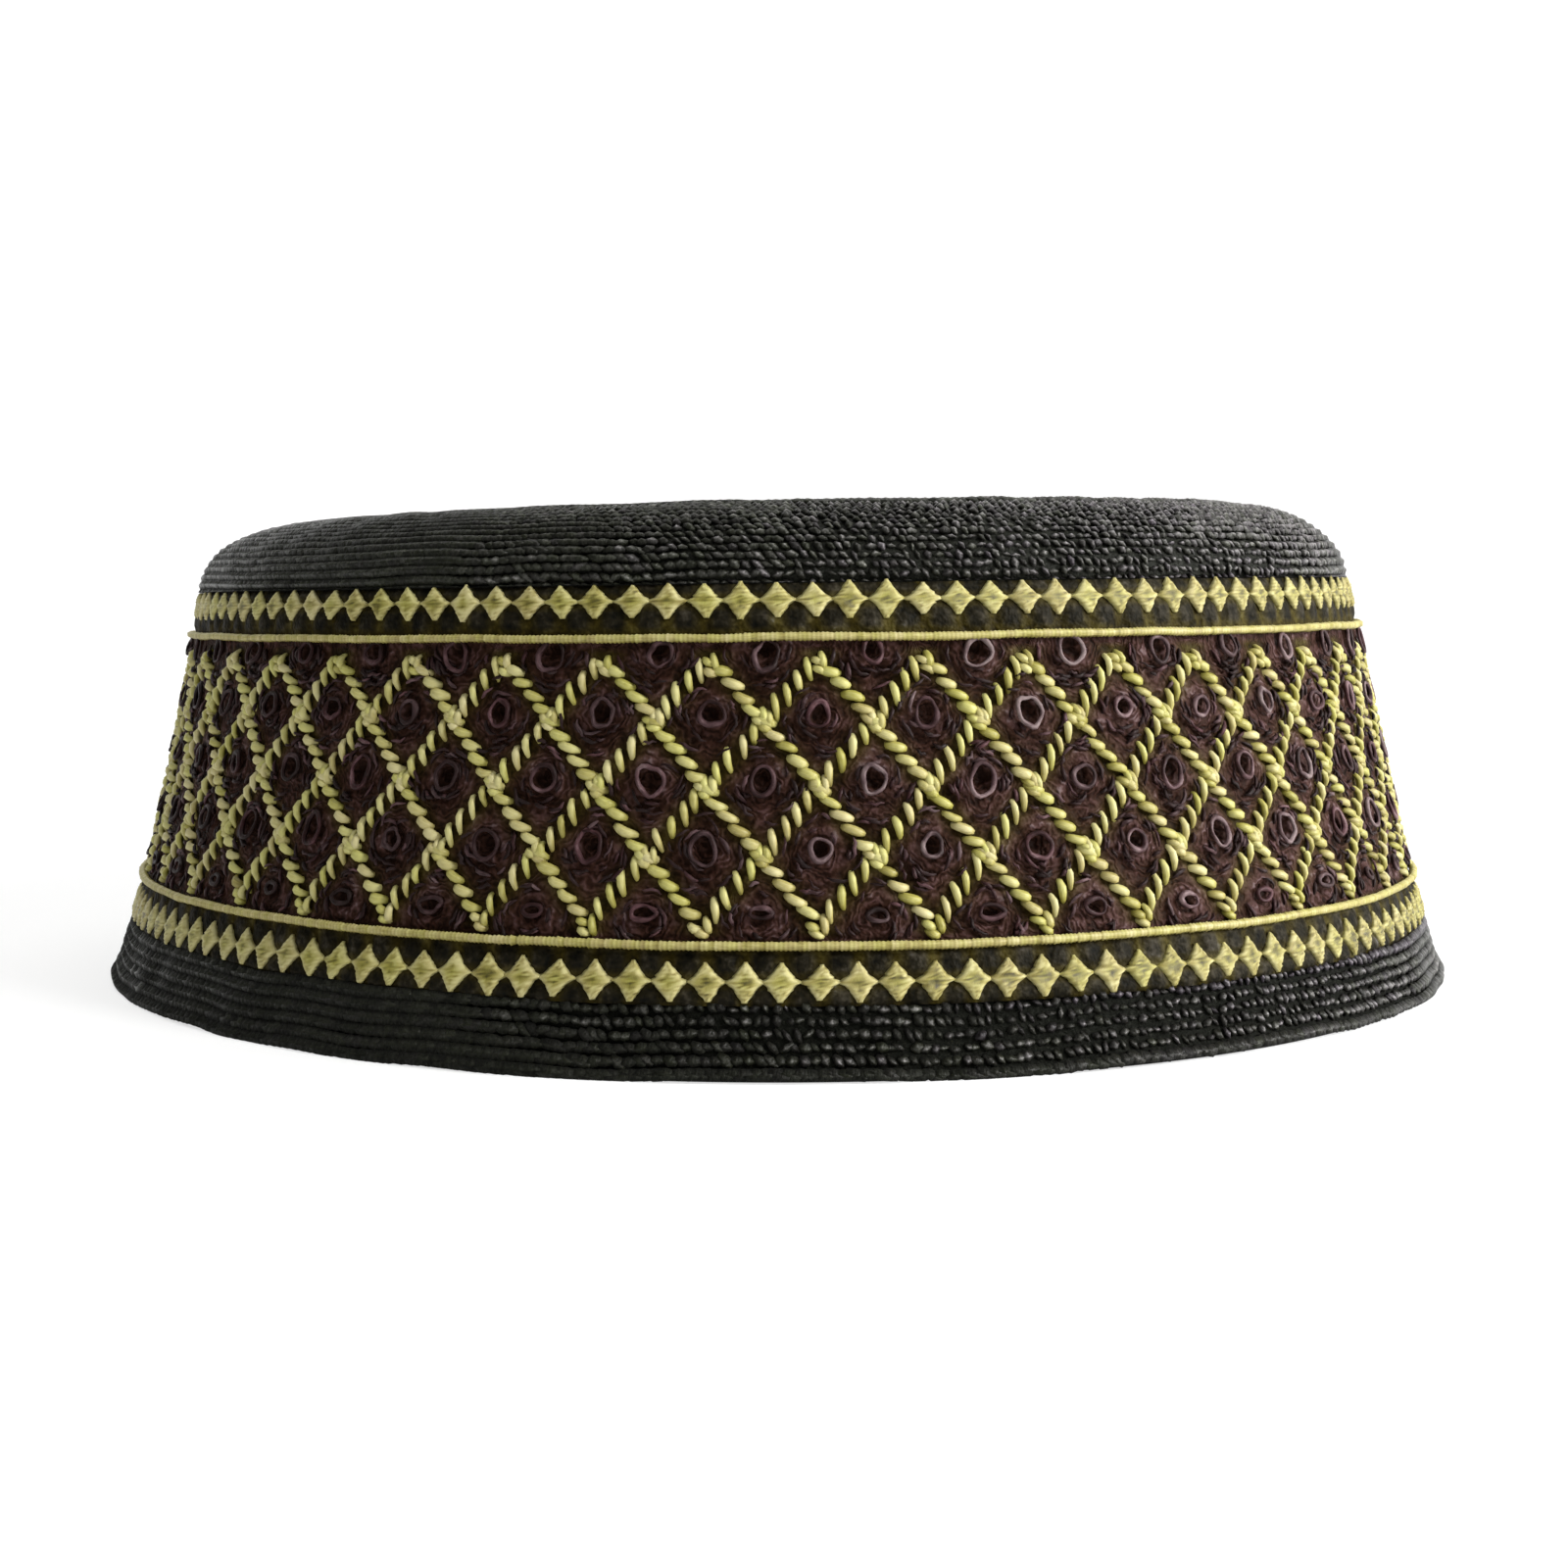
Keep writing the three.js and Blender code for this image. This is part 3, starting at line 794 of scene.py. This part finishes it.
def diamond_trim(height, tall, count, seed, threads=10, columns=6):
    """A ring of satin-stitched diamonds whose side tips run into each other."""
    random = np.random.default_rng(seed)
    rows = threads * 2 + 1
    up_share = np.linspace(-1, 1, rows)[None, :, None]
    across_share = np.linspace(-1, 1, columns + 1)[None, None, :]
    angle = TRIM_TURN + (np.arange(count) + random.normal(0, 0.025, count)) / count * TURN
    half_step = TURN * wall_radius(height) / count / 2
    half_tall = tall / 2 * random.normal(1, 0.045, (count, 1, 1))
    body = unit(1 - (np.abs(up_share) / 0.95) ** 1.2)
    neck = 0.3 * np.exp(-((up_share / 0.13) ** 2))
    tail = np.where(up_share < 0, 0.16, 0.1) * (1 - body)
    half_width = half_step * (0.84 * body + neck + tail)
    half_width = half_width * (1 + 0.05 * random.normal(0, 1, (count, rows, 1)))
    skew = 0.14 * random.normal(0, 1, (count, 1, 1)) * up_share
    pad = np.sqrt(unit(1 - np.abs(across_share) ** 2.6))
    dish = np.exp(-((across_share / 0.45) ** 2) - (up_share / 0.42) ** 2)
    plump = 0.22 + 0.42 * unit(body * 1.6) ** 0.6
    thread = np.where(np.arange(rows) % 2 == 1, THREAD_RELIEF, -THREAD_RELIEF)[None, :, None]
    out = DIAMOND_SUNK + plump * pad - DISH_DEPTH * dish + thread * pad
    out = out + 0.03 * random.normal(0, 1, (count, rows, columns + 1))
    across = across_share * half_width + skew
    up = up_share * half_tall + np.zeros(out.shape)
    local = np.stack(np.broadcast_arrays(across, up, out), axis=-1)
    # Painted light and shade: darker in the dished middle, paler at the edges and on the thread ridges
    tone = 0.7 - 0.4 * dish + 0.26 * (1 - pad) + 1.2 * thread + 0.17 * random.normal(0, 1, out.shape)
    tone = tone + 0.05 * random.normal(0, 1, (count, rows, 1)) + 0.06 * random.normal(0, 1, (count, 1, 1))
    # Painted shade: darker towards the cap's right, holding back the lamps there
    tone = tone - 0.12 * np.sin(angle)[:, None, None]
    tint = unit(0.25 + 0.75 * dish + 0.15 * random.normal(0, 1, (count, 1, 1)))
    uv = (up_share * tall / 2, across_share * half_step)
    points = placed(local, angle, np.full(count, height))
    return lofted(points, uv, tone=unit(tone * np.ones(out.shape)), tint=tint)


SOCKETS = {
    "color": "Base Color",
    "normal": "Normal",
    "roughness": "Roughness",
    "gloss": "Specular IOR Level",
    "glow": "Emission Strength",
    "glow_color": "Emission Color",
}


class Finish:
    """A node material built up step by step."""

    def __init__(self, name):
        self.material = bpy.data.materials.new(name)
        self.material.use_nodes = True
        self.tree = self.material.node_tree
        self.shader = self.tree.nodes["Principled BSDF"]

    def node(self, kind, inputs=(), **settings):
        made = self.tree.nodes.new(kind)
        for key, value in settings.items():
            setattr(made, key, value)
        for key, value in dict(inputs).items():
            if isinstance(value, bpy.types.NodeSocket):
                self.tree.links.new(value, made.inputs[key])
            else:
                made.inputs[key].default_value = value
        return made

    def math(self, operation, first, second=0.0):
        return self.node("ShaderNodeMath", {0: first, 1: second}, operation=operation).outputs[0]

    def blurred(self, base, amount, *patterns):
        """The base with each pattern from 0 to 1 added to it, as much up as down."""
        for pattern in patterns:
            centred = self.math("SUBTRACT", pattern, 0.5)
            base = self.math("ADD", base, self.math("MULTIPLY", centred, amount))
        return base

    def shade(self, name):
        return self.node("ShaderNodeAttribute", attribute_name=name).outputs["Fac"]

    def threads(self, along, around):
        """Thread coordinates, stretched along the thread and round it."""
        uv = self.node("ShaderNodeUVMap", uv_map="threads").outputs[0]
        inputs = {0: uv, 1: (along, around, 1.0)}
        return self.node("ShaderNodeVectorMath", inputs, operation="MULTIPLY").outputs[0]

    def place(self):
        return self.node("ShaderNodeTexCoord").outputs["Object"]

    def noise(self, vector, scale, detail):
        made = self.node("ShaderNodeTexNoise", {"Vector": vector, "Scale": scale, "Detail": detail})
        return made.outputs["Fac"]

    def ramp(self, factor, stops):
        made = self.node("ShaderNodeValToRGB", {"Fac": factor})
        elements = made.color_ramp.elements
        while len(elements) < len(stops):
            elements.new(0.5)
        for element, (position, colour) in zip(elements, stops):
            element.position = position
            element.color = (*colour, 1)
        return made.outputs["Color"]

    def ramps(self, factor, positions, *rows):
        """A colour ramp for each row of colours, with its stops at the same positions."""
        return [self.ramp(factor, list(zip(positions, row))) for row in rows]

    def mix(self, factor, first, second):
        return self.node("ShaderNodeMix", {0: factor, 6: first, 7: second}, data_type="RGBA").outputs[2]

    def bump(self, height, strength, distance, below=None):
        inputs = {"Height": height, "Strength": strength, "Distance": distance}
        if below is not None:
            inputs["Normal"] = below
        return self.node("ShaderNodeBump", inputs).outputs["Normal"]

    def set(self, **values):
        for key, value in values.items():
            socket = self.shader.inputs[SOCKETS[key]]
            if isinstance(value, bpy.types.NodeSocket):
                self.tree.links.new(value, socket)
            else:
                socket.default_value = value
        return self.material


def gold_thread():
    """Glossy pale rayon thread, finely fibred along its length, olive in its shadows."""
    finish = Finish("gold_thread")
    fibres = finish.noise(finish.threads(along=0.9, around=26.0), scale=1.0, detail=2.0)
    grain = finish.noise(finish.place(), scale=900.0, detail=2.0)
    shade = finish.blurred(finish.shade("tone"), 0.6, fibres)
    shade = finish.blurred(shade, 0.4, grain)
    cream, green = finish.ramps(
        shade, (0.0, 0.3, 0.6, 0.95),
        [(0.045, 0.031, 0.006), (0.2, 0.155, 0.038), (0.41, 0.345, 0.125), (0.59, 0.53, 0.265)],
        [(0.04, 0.031, 0.004), (0.165, 0.145, 0.018), (0.345, 0.315, 0.056), (0.53, 0.51, 0.155)],
    )
    colour = finish.mix(finish.shade("tint"), cream, green)
    normal = finish.bump(fibres, strength=0.45, distance=0.00012)
    return finish.set(color=colour, normal=normal, roughness=0.42, gloss=0.4)


def maroon_thread():
    """Dull maroon and mauve thread of the rings and curls."""
    finish = Finish("maroon_thread")
    fibres = finish.noise(finish.threads(along=1.6, around=9.0), scale=1.0, detail=2.0)
    shade = finish.blurred(finish.shade("tone"), 0.55, fibres)
    red, mauve = finish.ramps(
        shade, (0.0, 0.4, 0.75, 1.0),
        [(0.01, 0.003, 0.002), (0.03, 0.0095, 0.01), (0.1, 0.045, 0.05), (0.21, 0.13, 0.135)],
        [(0.009, 0.004, 0.003), (0.026, 0.0135, 0.013), (0.095, 0.06, 0.062), (0.21, 0.16, 0.155)],
    )
    colour = finish.mix(finish.shade("tint"), red, mauve)
    normal = finish.bump(fibres, strength=0.5, distance=0.00012)
    return finish.set(color=colour, normal=normal, roughness=0.5, gloss=0.15)


def ground_cloth():
    """Dark maroon ground that curls round the rings, olive by the ropes and slate on the scallops."""
    finish = Finish("ground_cloth")
    place = finish.place()
    fuzz = finish.noise(place, scale=1500.0, detail=4.0)
    drift = finish.noise(place, scale=420.0, detail=2.0)
    warm_share = finish.shade("warm")
    rings = finish.math("MULTIPLY", finish.shade("swirl"), 7.0)
    phase = finish.math("ADD", rings, finish.math("MULTIPLY", drift, 34.0))
    curls = finish.math("MULTIPLY", finish.math("SINE", phase), finish.math("MULTIPLY", warm_share, 0.5))
    curls = finish.math("ADD", curls, 0.5)
    speckle = finish.noise(place, scale=750.0, detail=2.0)
    shade = finish.blurred(finish.shade("tone"), 0.35, curls)
    shade = finish.blurred(shade, 0.8, fuzz, speckle)
    warm, olive, slate = finish.ramps(
        shade, (0.0, 0.4, 0.75, 1.0),
        [(0.011, 0.0035, 0.0015), (0.034, 0.0135, 0.0085), (0.075, 0.037, 0.034), (0.15, 0.1, 0.1)],
        [(0.014, 0.0098, 0.001), (0.038, 0.028, 0.003), (0.08, 0.064, 0.013), (0.13, 0.12, 0.07)],
        [(0.0025, 0.0025, 0.0013), (0.0125, 0.0105, 0.0055), (0.042, 0.036, 0.025), (0.1, 0.095, 0.09)],
    )
    colour = finish.mix(finish.shade("slate"), finish.mix(warm_share, olive, warm), slate)
    rough = finish.bump(curls, strength=0.6, distance=0.00022)
    rough = finish.bump(speckle, strength=0.7, distance=0.0005, below=rough)
    normal = finish.bump(fuzz, strength=0.7, distance=0.00022, below=rough)
    return finish.set(color=colour, normal=normal, roughness=0.6, gloss=0.06)


def black_cotton():
    """Black stitched cotton, greyer and smoother where the tone paints light: on the crests and the right."""
    finish = Finish("black_cotton")
    fibres = finish.noise(finish.threads(along=3.2, around=5.0), scale=1.0, detail=3.0)
    fuzz = finish.noise(finish.place(), scale=1800.0, detail=3.0)
    shade = finish.blurred(finish.shade("tone"), 0.55, fibres, fuzz)
    olive, purple = finish.ramps(
        shade, (0.0, 0.45, 0.75, 1.0),
        [(0.0024, 0.0028, 0.001), (0.0112, 0.0125, 0.0058), (0.054, 0.0565, 0.042), (0.23, 0.228, 0.205)],
        [(0.0024, 0.0018, 0.0022), (0.0122, 0.009, 0.0115), (0.06, 0.05, 0.06), (0.24, 0.212, 0.236)],
    )
    colour = finish.mix(finish.shade("tint"), olive, purple)
    rough = finish.bump(fibres, strength=0.6, distance=0.0003)
    normal = finish.bump(fuzz, strength=0.8, distance=0.0003, below=rough)
    # Smoother where the tone is pale, which is where painted light and painted glints lie
    pale_share = finish.math("MINIMUM", finish.math("MAXIMUM", finish.math("MULTIPLY", shade, 2.0), 0.0), 1.0)
    roughness = finish.math("SUBTRACT", 0.95, finish.math("MULTIPLY", pale_share, 0.64))
    return finish.set(color=colour, normal=normal, roughness=roughness, gloss=0.17)


def pale_paper(name, glow):
    """Matt floor and backdrop, lit a little from within, so that the cap's shadow stays faint."""
    finish = Finish(name)
    speckle = finish.noise(finish.place(), scale=40.0, detail=2.0)
    shade = finish.ramp(speckle, [(0.0, (0.39, 0.39, 0.387)), (1.0, (0.4, 0.4, 0.397))])
    return finish.set(color=shade, roughness=0.9, gloss=0.1, glow=glow, glow_color=(1, 1, 1, 1))


# Area lights, in metres and watts, aimed at the cap unless they say otherwise
LIGHTS = [
    {"name": "key", "place": (0.7, -0.5, 0.6), "size": (0.25, 0.25), "power": 6.8},
    {"name": "top", "place": (0.0, 0.1, 1.1), "size": (1.2, 1.2), "power": 7.6},
    {"name": "right", "place": (0.8, -0.15, 0.25), "size": (0.3, 0.3), "power": 7.0},
    {"name": "backdrop", "place": (0.0, 0.5, 1.0), "size": (2.4, 0.5), "power": 18.0, "aim": (0, 1.6, 0.5)},
]
SKY_LIGHT = 0.2


def area_light(name, place, size, power, aim=(0, 0, 0.03)):
    """A soft rectangular light."""
    light = bpy.data.lights.new(name, "AREA")
    light.shape = "RECTANGLE"
    light.size, light.size_y = size
    light.energy = power
    holder = linked(name, light)
    holder.location = place
    holder.rotation_euler = (Vector(aim) - Vector(place)).to_track_quat("-Z", "Y").to_euler()


def stage_piece(name, points, faces, glow):
    """A smooth pale piece of the studio."""
    mesh = bpy.data.meshes.new(name)
    mesh.from_pydata(points, [], faces)
    mesh.polygons.foreach_set("use_smooth", [True] * len(faces))
    mesh.materials.append(pale_paper(name, glow))
    piece = linked(name, mesh)
    return piece


def surround(radius=6.0, columns=32, rows=12):
    """A pale shell round the studio, seen by the camera alone, so that it lights nothing."""
    turn = np.arange(columns) / columns * TURN
    slope = np.linspace(-0.5, 0.5, rows + 1)[:, None] * math.pi * 0.999
    level = np.cos(slope)
    points = np.stack(np.broadcast_arrays(level * np.cos(turn), level * np.sin(turn), np.sin(slope)), axis=-1)
    index = np.arange((rows + 1) * columns).reshape(rows + 1, columns)
    after = np.roll(index, -1, axis=1)
    faces = np.stack([index[:-1], after[:-1], after[1:], index[1:]], axis=-1).reshape(-1, 4)
    points = (points.reshape(-1, 3) * radius).tolist()
    shell = stage_piece("studio_surround", points, faces.tolist(), glow=0.9)
    shell.visible_diffuse = shell.visible_glossy = shell.visible_transmission = shell.visible_shadow = False


def studio():
    """Pale sweep of floor and backdrop, and soft lights from above and the right."""
    half, back, bend, tall = 2.5, 1.6, 0.5, 3.0
    steps = 12
    line = [(-half, 0.0)]
    for step in range(steps + 1):
        turn = step / steps * math.pi / 2
        line.append((back - bend + bend * math.sin(turn), bend - bend * math.cos(turn)))
    line.append((back, tall))
    points = [(side * half, y, z) for y, z in line for side in (-1, 1)]
    faces = [(2 * k, 2 * k + 1, 2 * k + 3, 2 * k + 2) for k in range(len(line) - 1)]
    stage_piece("studio_sweep", points, faces, glow=0.65)
    surround()
    for light in LIGHTS:
        area_light(**light)
    world = bpy.data.worlds.new("studio")
    world.use_nodes = True
    sky = world.node_tree.nodes["Background"].inputs
    sky["Color"].default_value = (1, 1, 1, 1)
    sky["Strength"].default_value = SKY_LIGHT
    bpy.context.scene.world = world


# The photograph's view: focal length in the photograph's pixels, place in millimetres, tip in degrees
FOCAL_PIXELS = 2279
PHOTO_PIXELS = 1600
CAMERA_PLACE = (0.79, -328.3, 51.7)
CAMERA_DOWN = 4.81


def camera():
    """The photograph's view, from close in front, just below the crown and looking a little down."""
    sensor = 36.0
    data = bpy.data.cameras.new("camera")
    data.sensor_width = sensor
    data.lens = sensor * (FOCAL_PIXELS / PHOTO_PIXELS)
    data.clip_start = 0.01
    holder = linked("camera", data)
    holder.location = [value * MM for value in CAMERA_PLACE]
    holder.rotation_euler = (math.radians(90 - CAMERA_DOWN), 0, 0)
    bpy.context.scene.camera = holder


def cap():
    """All the visible pieces of the cap."""
    black = black_cotton(), "black_cotton"
    ground = ground_cloth(), "maroon_ground"
    gold = gold_thread(), "gold_thread"
    maroon = maroon_thread(), "maroon_ground"
    add_piece("hem_cloth", hem_band(), black, "hem_band")
    # right_tone makes the stitches paler towards the cap's right: painted light
    hem_rows = black_rows(
        wall_line, HEM_ROWS, HEM_ROWS_BOTTOM, HEM_ROWS_TOP, RIM_RADIUS,
        smooth_row=0, base_tone=0.06, right_tone=0.36, seed=11,
    )
    add_piece("hem_rows", hem_rows, black, "hem_band")
    add_piece("crown_edge_cloth", crown_shoulder(), black, "crown")
    edge_rows = int(round((SHOULDER_LENGTH - CROWN_ROWS_START) / ROW_PITCH))
    # A higher base_tone than the hem's: painted light on the crown's edge, which faces up
    crown_rows = black_rows(
        shoulder_line, edge_rows, CROWN_ROWS_START, SHOULDER_LENGTH, CROWN_RADIUS,
        smooth_row=edge_rows - 1, base_tone=0.25, right_tone=0.24, seed=21,
    )
    add_piece("crown_edge_rows", crown_rows, black, "crown")
    add_piece("crown_top_rows", crown_top(), black, "crown")
    add_piece("side_ground", side_ground(), ground, "side_band")
    add_piece("thread_rings", thread_rings(), maroon)
    add_piece("thread_curls", ground_stitches(), maroon)
    add_piece("rising_ropes", rope_side(-1, RISING_STITCH, seed=71), gold, "gold_lattice")
    falling = joined(rope_side(1, FALLING_STITCH, seed=72), crossing_knots())
    add_piece("falling_ropes", falling, gold, "gold_lattice")
    for side in ("upper", "lower"):
        add_piece(f"{side}_satin_cord", satin_cord(**CORDS[side]), gold, f"{side}_cord")
    for side in ("upper", "lower"):
        add_piece(f"{side}_diamonds", diamond_trim(**TRIMS[side]), gold, f"{side}_diamond_trim")


cap()
studio()
camera()
bpy.context.scene.view_settings.view_transform = "Standard"
